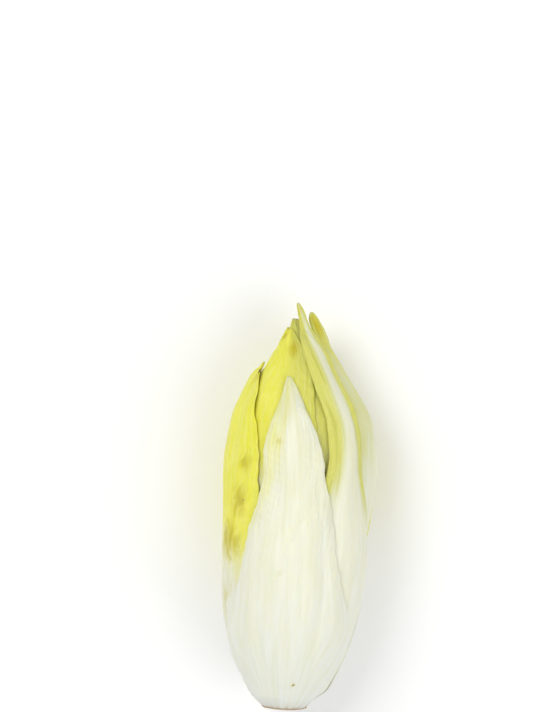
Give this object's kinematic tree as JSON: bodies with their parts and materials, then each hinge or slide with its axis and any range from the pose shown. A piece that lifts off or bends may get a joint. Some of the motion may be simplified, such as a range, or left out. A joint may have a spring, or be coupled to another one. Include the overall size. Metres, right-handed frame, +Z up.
{
  "type": "belgian endive",
  "caption": "Whole Belgian endive head lying on its side: pointed pale leaves wrapped round a short cut stem.",
  "frame": {"origin": "middle of the head's bounding box at the surface it lies on", "axes": "+Y along the head from the cut face to the leaf tips, +Z up, +X across"},
  "size_m": [0.0531, 0.1424, 0.0544],
  "materials": {
    "stem": "matte cut stem flesh, cream with a browned rim",
    "pale_leaf": "smooth, slightly waxy white leaf with a pale yellow edge",
    "yellow_leaf": "smooth, slightly waxy leaf, white rib and yellow blade",
    "heart_leaf": "smooth, tender yellow leaf of the heart"
  },
  "bodies": {
    "root": {"stem": "stem", "leaf_01": "pale_leaf", "leaf_02": "pale_leaf", "leaf_03": "pale_leaf", "leaf_04": "pale_leaf", "leaf_05": "pale_leaf", "leaf_06": "yellow_leaf", "leaf_07": "yellow_leaf", "leaf_08": "yellow_leaf", "leaf_09": "yellow_leaf", "leaf_10": "heart_leaf", "leaf_11": "heart_leaf", "leaf_12": "heart_leaf", "leaf_13": "heart_leaf", "leaf_14": "heart_leaf", "leaf_15": "heart_leaf", "leaf_16": "heart_leaf", "leaf_17": "heart_leaf", "leaf_18": "heart_leaf"}
  },
  "joints": []
}
